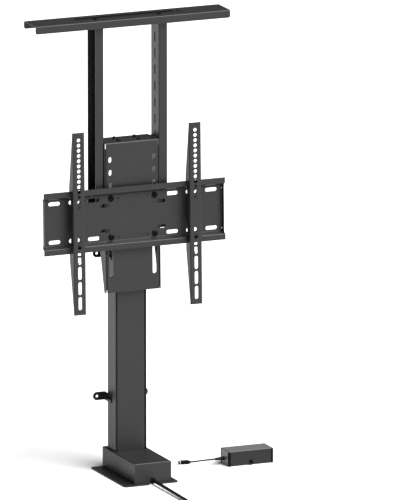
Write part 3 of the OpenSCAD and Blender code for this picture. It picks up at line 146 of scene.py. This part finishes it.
def cord_height(way):
    """Height of the cord's centre line, which eases down over the run's first stretch."""
    part = min(1, way / CORD_FALL)
    return CORD_OUT.z - (CORD_OUT.z - CORD_LOW) * part * part * (3 - 2 * part)


motor_run = [CORD_OUT, CORD_OUT - Vector((0, CORD_STRAIGHT, 0))]
for k in range(1, CORD_STEPS + 1):
    motor_run.append(Vector((0, CORD_OUT.y - CORD_STRAIGHT - k * CORD_STEP,
                             cord_height(k * CORD_STEP))))
motor_run.append(Vector((0, CORD_OUT.y - CORD_RUN, CORD_LOW)))

# The coil winds inwards on the floor, climbs around the turn before it, winds outwards in the
# hollows of the lower layer, and comes down again on the outside.
COIL_R = 0.0526
COIL_GAP = 0.001
COIL_TAIL = 0.030
TURN_POINTS = 48
CLIMB_AT = 2
CLIMB_TURNS = 0.5
DROP_AT = 4
COIL_TURNS = 4.5
coil_entry = motor_run[-1] - Vector((0, MOTOR_CORD_D, 0))
coil_pitch = MOTOR_CORD_D + COIL_GAP
swing_r = math.hypot(coil_pitch / 2, coil_pitch)
swing_angle = math.pi / 2 + math.atan2(coil_pitch / 2, coil_pitch)


def coil_point(turn):
    """Centre of the coiled cord after so many turns."""
    if turn <= CLIMB_AT:
        radius, height = COIL_R - coil_pitch * turn, 0
    elif turn <= CLIMB_AT + CLIMB_TURNS:
        part = (turn - CLIMB_AT) / CLIMB_TURNS
        angle = math.pi + (swing_angle - math.pi) * part
        reach = coil_pitch + (swing_r - coil_pitch) * part
        radius = COIL_R - coil_pitch * (turn - 1) + reach * math.cos(angle)
        height = reach * math.sin(angle)
    elif turn <= DROP_AT:
        radius, height = COIL_R - coil_pitch * (COIL_TURNS - turn), coil_pitch
    else:
        angle = swing_angle * (1 + math.cos(math.tau * (turn - DROP_AT))) / 2
        radius = COIL_R - coil_pitch * (turn - DROP_AT) + swing_r * math.cos(angle)
        height = swing_r * math.sin(angle)
    around = -math.tau * turn
    return coil_entry + Vector((radius * math.cos(around) - COIL_R, radius * math.sin(around),
                                height))


coil = [coil_point(k / TURN_POINTS) for k in range(int(COIL_TURNS * TURN_POINTS) + 1)]
motor_path = motor_run + coil + [coil[-1] + Vector((0, COIL_TAIL, 0))]

CORD_ROUNDNESS = 5
CORD_SMOOTHNESS = 3


def cord_curve(name, path, diameter, material):
    """A round cord along a path, as one open spline."""
    data = bpy.data.curves.new(name, "CURVE")
    data.dimensions = "3D"
    data.bevel_depth = diameter / 2
    data.bevel_resolution = CORD_ROUNDNESS
    data.resolution_u = CORD_SMOOTHNESS
    data.use_fill_caps = True
    spline = data.splines.new("BEZIER")
    spline.bezier_points.add(len(path) - 1)
    for point, centre in zip(spline.bezier_points, path):
        point.co = centre
        point.handle_left_type = point.handle_right_type = "AUTO"
    data.materials.append(material)
    piece = bpy.data.objects.new(name, data)
    scene.collection.objects.link(piece)
    return piece


MOULDED_SPREAD = 0.08


def moulded(name, colour, pale, roughness, gloss=0.5):
    """Moulded plastic: a spark-eroded grain, and a little paler where it has been touched.

    The grain is drawn coarser than it is, so that it shows.
    """
    material, tree, shader, place = new_material(name, IOR=1.5, Specular_IOR_Level=gloss)
    grain = add(tree, "ShaderNodeTexNoise", {"Scale": per_mm(0.5), "Detail": 3}, {"Vector": place})
    patch = add(tree, "ShaderNodeTexNoise", {"Scale": per_mm(12), "Detail": 3}, {"Vector": place})
    surface(tree, shader, tones=(colour, pale), clouds=patch,
            roughness=(roughness - MOULDED_SPREAD, roughness + MOULDED_SPREAD),
            grain=grain, relief=(0.12, 0.0001))
    return material


black_plastic = moulded("black_moulded_abs", "#040404", "#080808", roughness=0.46, gloss=0.06)

parts = frame["nodes"]
body_of = {part: body for body, members in frame["record"]["behaviour"]["bodies"].items()
           for part in members}


def dress(material, *names):
    """Gives CAD parts their finish."""
    for name in names:
        parts[name].data.materials.clear()
        parts[name].data.materials.append(material)


MERGE_WITHIN = 1e-6
FLAT_WITHIN = math.radians(1)
SHARP_FROM = math.radians(35)
SMOOTH_WITHIN = math.radians(40)
EDGE_STEPS = 2


def round_edges(shape, edges, width):
    """Rounds edges of a shape."""
    bmesh.ops.bevel(shape, geom=edges, offset=width, offset_type="OFFSET", affect="EDGES",
                    segments=EDGE_STEPS, profile=0.5, material=-1, clamp_overlap=True)


def make_piece(name, shape, material, smooth):
    """Turns a finished shape into an object, either flat or smooth between its sharp edges."""
    data = bpy.data.meshes.new(name)
    shape.to_mesh(data)
    shape.free()
    if smooth:
        for face in data.polygons:
            face.use_smooth = True
        data.set_sharp_from_angle(angle=SMOOTH_WITHIN)
    data.materials.append(material)
    piece = bpy.data.objects.new(name, data)
    scene.collection.objects.link(piece)
    return piece


def ease(material, width, *names):
    """Puts copies of CAD parts in their place, sharp edges rounded, and gives back the last."""
    for name in names:
        shape = bmesh.new()
        shape.from_mesh(parts[name].data)
        bmesh.ops.remove_doubles(shape, verts=shape.verts, dist=MERGE_WITHIN)
        bmesh.ops.dissolve_limit(shape, angle_limit=FLAT_WITHIN, verts=shape.verts,
                                 edges=shape.edges)
        sharp = [edge for edge in shape.edges
                 if edge.is_manifold and edge.calc_face_angle() > SHARP_FROM]
        round_edges(shape, sharp, width)
        piece = make_piece(name + "_eased", shape, material, smooth=True)
        weighted = piece.modifiers.new("weighted", "WEIGHTED_NORMAL")
        weighted.keep_sharp = True
        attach(piece, body_of[name])
        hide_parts(name)
    return piece


PLUG_EDGE = 0.0008
motor_cord = cord_curve("motor_cord", motor_path, MOTOR_CORD_D, cord_pvc)
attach(motor_cord, "base")
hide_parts("motor_cord_run", "motor_cord_coil")
dress(black_plastic, "cord_tie")
motor_plug = ease(black_plastic, PLUG_EDGE, "cord_connector")


# Pigtail of the control box: a thin black PVC lead that comes out of a tapered relief, sinks to the
# floor in two bends and ends in a moulded round connector.
PIGTAIL_D = 0.0036
PIGTAIL_OUT = Vector((0.209, 0.017, 0.015))
PIGTAIL_R = 0.025
PIGTAIL_SWING = 72
PIGTAIL_BACK = 12
PIGTAIL_ARC = 12
CONNECTOR_R = 0.005
PIGTAIL_PLUG_EDGE = 0.0006


def first_bend(angle):
    """Point of the pigtail's first bend, so many degrees from its start."""
    turn = math.radians(angle)
    return PIGTAIL_R * Vector((-math.sin(turn), 1 - math.cos(turn), 0))


pigtail_flat = [first_bend(angle) for angle in range(0, PIGTAIL_SWING + 1, PIGTAIL_ARC)]
for angle in range(PIGTAIL_SWING - PIGTAIL_ARC, PIGTAIL_BACK - 1, -PIGTAIL_ARC):
    pigtail_flat.append(2 * first_bend(PIGTAIL_SWING) - first_bend(angle))
pigtail_path = [PIGTAIL_OUT]
for point in pigtail_flat:
    sink = (PIGTAIL_OUT.z - CONNECTOR_R) * point.y / pigtail_flat[-1].y
    pigtail_path.append(PIGTAIL_OUT + point - Vector((PIGTAIL_D, 0, sink)))
plug_turn = math.radians(PIGTAIL_BACK)
plug_way = Vector((-math.cos(plug_turn), math.sin(plug_turn), 0))
pigtail_path.append(pigtail_path[-1] + PIGTAIL_D * plug_way)
pigtail = cord_curve("pigtail", pigtail_path, PIGTAIL_D, cord_pvc)
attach(pigtail, "base")
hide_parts("pigtail_cord")
pigtail_plug = ease(black_plastic, PIGTAIL_PLUG_EDGE, "pigtail_connector")


# Studio: a plain pale floor of matt paper under one broad light from the front right, bright enough
# to burn the floor white, so that the dark paint is lit by it and by the floor around.
FLOOR_R = 60
FLOOR_SIDES = 96
KEY_FROM = Vector((0.37, -0.55, 0.745))
KEY_STRENGTH = 6.8
KEY_ANGLE = math.radians(55)
AMBIENT_STRENGTH = 0.14
paper = new_material("pale_backdrop_paper", Base_Color=linear("#f4f4f4"), Roughness=0.9,
                     Specular_IOR_Level=0.1)[0]
shape = bmesh.new()
bmesh.ops.create_circle(shape, cap_ends=True, segments=FLOOR_SIDES, radius=FLOOR_R)
floor = make_piece("floor", shape, paper, smooth=False)

world = bpy.data.worlds.new("studio")
world.use_nodes = True
ambient = world.node_tree.nodes["Background"]
ambient.inputs["Color"].default_value = linear("#ffffff")
ambient.inputs["Strength"].default_value = AMBIENT_STRENGTH
scene.world = world
scene.view_settings.view_transform = "Standard"
key_data = bpy.data.lights.new("key_light", "SUN")
key_data.energy = KEY_STRENGTH
key_data.angle = KEY_ANGLE
key_light = bpy.data.objects.new("key_light", key_data)
key_light.rotation_euler = KEY_FROM.to_track_quat("Z", "Y").to_euler()
scene.collection.objects.link(key_light)


# Base: a folded steel cover over motor and gearbox on a flat plate, cut by laser, powder coated in
# charcoal and screwed together from below. The cord leaves through a soft grommet.
SHEET_EDGE = 0.0003
BASE_SCREW_EDGE = 0.0002
COAT_SPREAD = 0.06


def powder_coat(name, colour, dusty, roughness, gloss=0.5):
    """Baked paint film: a fine orange peel in a satin surface, with faint clouds of handling marks.

    Black zinc plating, a thin film on screws, is near enough to it to be made the same way.
    """
    material, tree, shader, place = new_material(name, IOR=1.5, Specular_IOR_Level=gloss)
    peel = add(tree, "ShaderNodeTexNoise", {"Scale": per_mm(1.6), "Detail": 2}, {"Vector": place})
    cloud = add(tree, "ShaderNodeTexNoise", {"Scale": per_mm(90), "Detail": 4}, {"Vector": place})
    surface(tree, shader, tones=(colour, dusty), clouds=cloud,
            roughness=(roughness - COAT_SPREAD, roughness + COAT_SPREAD),
            grain=peel, relief=(0.1, 0.0002))
    return material


charcoal = powder_coat("charcoal_powder_coat", "#1e1e1e", "#242424", roughness=0.4, gloss=0.35)
black_screw = powder_coat("black_zinc_plated_steel", "#050505", "#090909", roughness=0.3, gloss=0.1)
ease(charcoal, SHEET_EDGE, "base_plate", "base_cover")
ease(black_screw, BASE_SCREW_EDGE, "base_cover_screws", "foot_plate_screws", "foot_side_screws")
dress(cord_pvc, "cord_grommet")


# Foot: a folded steel channel under the cover that ties the column to the base plate with screws.
# Its zinc plate is bright, slightly bluish and yellowish from passivation, and a little scuffed.
zinc, tree, shader, place = new_material("bright_zinc_plated_steel", Metallic=1.0)
spangle = add(tree, "ShaderNodeTexNoise", {"Scale": per_mm(6), "Detail": 3}, {"Vector": place})
scuff = add(tree, "ShaderNodeTexNoise", {"Scale": per_mm(0.9), "Detail": 3}, {"Vector": place})
surface(tree, shader, tones=("#aeb4bb", "#bdb9a8"), clouds=spangle, roughness=(0.26, 0.42),
        grain=scuff, relief=(0.06, 0.0001))
dress(zinc, "foot_channel")


# Drive: a motor flanged to a cast gearbox inside the base, which turns a rolled screw up the middle
# of the column. The motor's can is drawn steel, zinc plated, and its end cap moulded.
CAST_EDGE = 0.0008
TURNED_SPREAD = 0.08
WAVE_RADIANS = 20


def turned_metal(name, colour, worn, roughness, line):
    """Metal from a lathe: rings of tool marks along Z over a slightly uneven tone.

    A ring is a line's millimetres times two pi, coarser than it is, so that it shows.
    """
    material, tree, shader, place = new_material(name, Metallic=1.0)
    rings = add(tree, "ShaderNodeTexWave",
                {"Scale": per_mm(line) / WAVE_RADIANS, "Distortion": 0.6, "Detail": 2},
                {"Vector": place}, bands_direction="Z")
    patch = add(tree, "ShaderNodeTexNoise", {"Scale": per_mm(11), "Detail": 3}, {"Vector": place})
    surface(tree, shader, tones=(colour, worn), clouds=patch,
            roughness=(roughness - TURNED_SPREAD, roughness + TURNED_SPREAD),
            grain=rings, relief=(0.15, 0.0001))
    return material


machined = turned_metal("machined_steel", "#8d9094", "#a3a5a6", roughness=0.34, line=0.8)

# Cast alloy: grey, dull and grainy from the mould.
cast, tree, shader, place = new_material("cast_alloy", Metallic=1.0)
grain = add(tree, "ShaderNodeTexNoise", {"Scale": per_mm(0.7), "Detail": 4}, {"Vector": place})
patch = add(tree, "ShaderNodeTexNoise", {"Scale": per_mm(18), "Detail": 3}, {"Vector": place})
surface(tree, shader, tones=("#8f9193", "#a5a7a8"), clouds=patch, roughness=(0.48, 0.66),
        grain=grain, relief=(0.35, 0.0002))

ease(cast, CAST_EDGE, "gearbox_housing")
dress(zinc, "drive_motor")
dress(black_plastic, "motor_end_cap")
dress(machined, "screw_bearing", "lower_screw", "upper_screw", "upper_bearing")


# Column: an extruded profile standing in the base, in the same charcoal as the sheet work, with a
# front panel set between two shadow grooves and a black nylon guide collar in its top.
COLLAR_EDGE = 0.0003
black_nylon = moulded("black_nylon", "#121212", "#191919", roughness=0.5)
ease(charcoal, SHEET_EDGE, "outer_column", "column_front_panel")
ease(black_nylon, COLLAR_EDGE, "outer_guide_collar")


# Wall brackets: black coated steel straps, folded, two on each side of the column near its back,
# each held by two button-head screws.
WALL_SCREW_EDGE = 0.0004
black_coat = powder_coat("black_powder_coat", "#090909", "#0e0e0e", roughness=0.4, gloss=0.25)
ease(black_coat, SHEET_EDGE, "wall_bracket_lower_left", "wall_bracket_lower_right",
     "wall_bracket_upper_left", "wall_bracket_upper_right")
ease(black_screw, WALL_SCREW_EDGE, "wall_bracket_screws")


# Stages: a middle and an inner tube, drawn steel in charcoal, that slide on nylon shoes and collars
# and are lifted by bronze nuts on the two screws. A cast cap closes the inner tube.
CAP_EDGE = 0.0004
bronze = turned_metal("bearing_bronze", "#a5803f", "#b98f4c", roughness=0.4, line=1.0)
white_nylon = moulded("white_nylon", "#d3d0c2", "#dedbd0", roughness=0.48)
ease(charcoal, SHEET_EDGE, "middle_tube", "inner_tube")
dress(bronze, "middle_nut", "drive_nut")
dress(white_nylon, "middle_slide_shoe", "inner_slide_shoe")
ease(black_nylon, COLLAR_EDGE, "middle_guide_collar")
ease(cast, CAP_EDGE, "inner_top_cap")


# Carriage: a slotted front plate folded over the column's top and two tapered side plates, laser
# cut from steel sheet, folded and powder coated. Four button-head screws hold it to the inner
# tube's cap.
TOP_SCREW_EDGE = 0.0005
ease(charcoal, SHEET_EDGE, "carriage_plate", "carriage_side_left", "carriage_side_right")
ease(black_screw, TOP_SCREW_EDGE, "top_screws")


# TV bracket: one steel sheet with two rails joggled forward, folded ends and rows of slots, bolted
# through the carriage with four button-head bolts.
BRACKET_BOLT_EDGE = 0.0006
NUT_EDGE = 0.0002
ease(charcoal, SHEET_EDGE, "tv_bracket")
ease(black_screw, BRACKET_BOLT_EDGE, "bracket_bolts")
ease(zinc, NUT_EDGE, "bracket_nuts")

# Corners of the bracket: its folded ends are pressed on into the corners behind both rails, and
# lean with the carriage's front plate.
PLATE_TOP = Vector((0, 0.033, 0.809))
PLATE_LEAN = math.radians(1.4)
BRACKET_Z = 0.628
CORNER_IN = 0.2297
CORNER_T = 0.0017
CORNER = ((0.0213, 0.0470), (0.0313, 0.0470), (0.0313, 0.0560), (0.0206, 0.0630), (0.0190, 0.0630))
shape = bmesh.new()
for side in (-1, 1):
    for up in (-1, 1):
        outline = [shape.verts.new((side * CORNER_IN, y, up * z)) for y, z in CORNER]
        grown = bmesh.ops.extrude_face_region(shape, geom=[shape.faces.new(outline)])["geom"]
        bmesh.ops.translate(shape, vec=(side * CORNER_T, 0, 0),
                            verts=[item for item in grown if isinstance(item, bmesh.types.BMVert)])
bmesh.ops.recalc_face_normals(shape, faces=shape.faces)
round_edges(shape, shape.edges[:], SHEET_EDGE)
bmesh.ops.translate(shape, vec=(0, 0, BRACKET_Z), verts=shape.verts)
bmesh.ops.rotate(shape, cent=PLATE_TOP, matrix=Matrix.Rotation(-PLATE_LEAN, 3, "X"),
                 verts=shape.verts)
corners = make_piece("bracket_corners", shape, charcoal, smooth=False)
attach(corners, body_of["tv_bracket"])


# TV arms: folded steel channels that hook over the upper rail and are locked behind the lower one
# by a screw from below; round holes and slots take the television's screws.
LOCK_SCREW_EDGE = 0.0005
ease(charcoal, SHEET_EDGE, "tv_arm_left", "tv_arm_right")
ease(black_screw, LOCK_SCREW_EDGE, "arm_lock_screw_left", "arm_lock_screw_right")


# Lid frame: two slotted steel channels bolted to the carriage sides carry an inverted channel with
# a window, and a tie under it, to which the cabinet's lid is screwed.
FRAME_BOLT_EDGE = 0.0004
ease(charcoal, SHEET_EDGE, "lid_upright_left", "lid_upright_right", "lid_channel",
     "lid_tie_channel")
ease(black_screw, FRAME_BOLT_EDGE, "frame_bolts")
ease(zinc, NUT_EDGE, "frame_nuts")


# Control box: a folded steel tray and a lighter folded cover, with black plastic strips down the
# front corners as painted shade, a round button low on the front and the pigtail's relief in its left
# end.
BOX_EDGE = 0.0002
BUTTON_EDGE = 0.0006
grey_coat = powder_coat("grey_powder_coat", "#5c5c5c", "#646464", roughness=0.4)
tray_coat = powder_coat("dark_powder_coat", "#0a0a0a", "#0e0e0e", roughness=0.4, gloss=0.4)
ease(tray_coat, BOX_EDGE, "control_box_tray")
ease(grey_coat, BOX_EDGE, "control_box_cover")
# The corner strips' black is painted shade: dark lines where the front meets the ends.
ease(black_plastic, BOX_EDGE, "control_box_corner_strips")
ease(black_plastic, BUTTON_EDGE, "pairing_button")
dress(cord_pvc, "pigtail_strain_relief")

# Plug shell: a thin sleeve, drawn from sheet, zinc plated and pressed over the connector's tip.
SHELL = ((0.0256, 0.0039), (0.0256, 0.0043), (0.0301, 0.0043), (0.0304, 0.0040), (0.0304, 0.0028),
         (0.0296, 0.0028))
SHELL_SIDES = 32
shape = bmesh.new()
rim = [shape.verts.new((way, 0, radius)) for way, radius in SHELL]
line = [shape.edges.new(pair) for pair in zip(rim, rim[1:])]
bmesh.ops.spin(shape, geom=rim + line, cent=(0, 0, 0), axis=(1, 0, 0), angle=math.tau,
               steps=SHELL_SIDES, use_merge=True)
bmesh.ops.recalc_face_normals(shape, faces=shape.faces)
bmesh.ops.rotate(shape, cent=(0, 0, 0), matrix=Matrix.Rotation(math.pi - plug_turn, 3, "Z"),
                 verts=shape.verts)
bmesh.ops.translate(shape, vec=pigtail_path[-2], verts=shape.verts)
shell = make_piece("plug_shell", shape, zinc, smooth=True)
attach(shell, "base")

# Circuit board: green solder mask over a mesh of copper tracks.
board, tree, shader, place = new_material("green_circuit_board", IOR=1.5)
tracks = add(tree, "ShaderNodeTexBrick", {"Scale": per_mm(9), "Mortar Size": 0.08,
                                          "Color1": linear("#1f4a2c"), "Color2": linear("#244f31"),
                                          "Mortar": linear("#3f7a4a")}, {"Vector": place})
gloss = add(tree, "ShaderNodeTexNoise", {"Scale": per_mm(4), "Detail": 2}, {"Vector": place})
rough = add(tree, "ShaderNodeMapRange", {"To Min": 0.25, "To Max": 0.4},
            {"Value": gloss.outputs["Fac"]})
bump = add(tree, "ShaderNodeBump", {"Strength": 0.2, "Distance": 0.0001},
           {"Height": tracks.outputs["Fac"]})
tree.links.new(tracks.outputs["Color"], shader.inputs["Base Color"])
tree.links.new(rough.outputs["Result"], shader.inputs["Roughness"])
tree.links.new(bump.outputs["Normal"], shader.inputs["Normal"])
dress(board, "control_board")
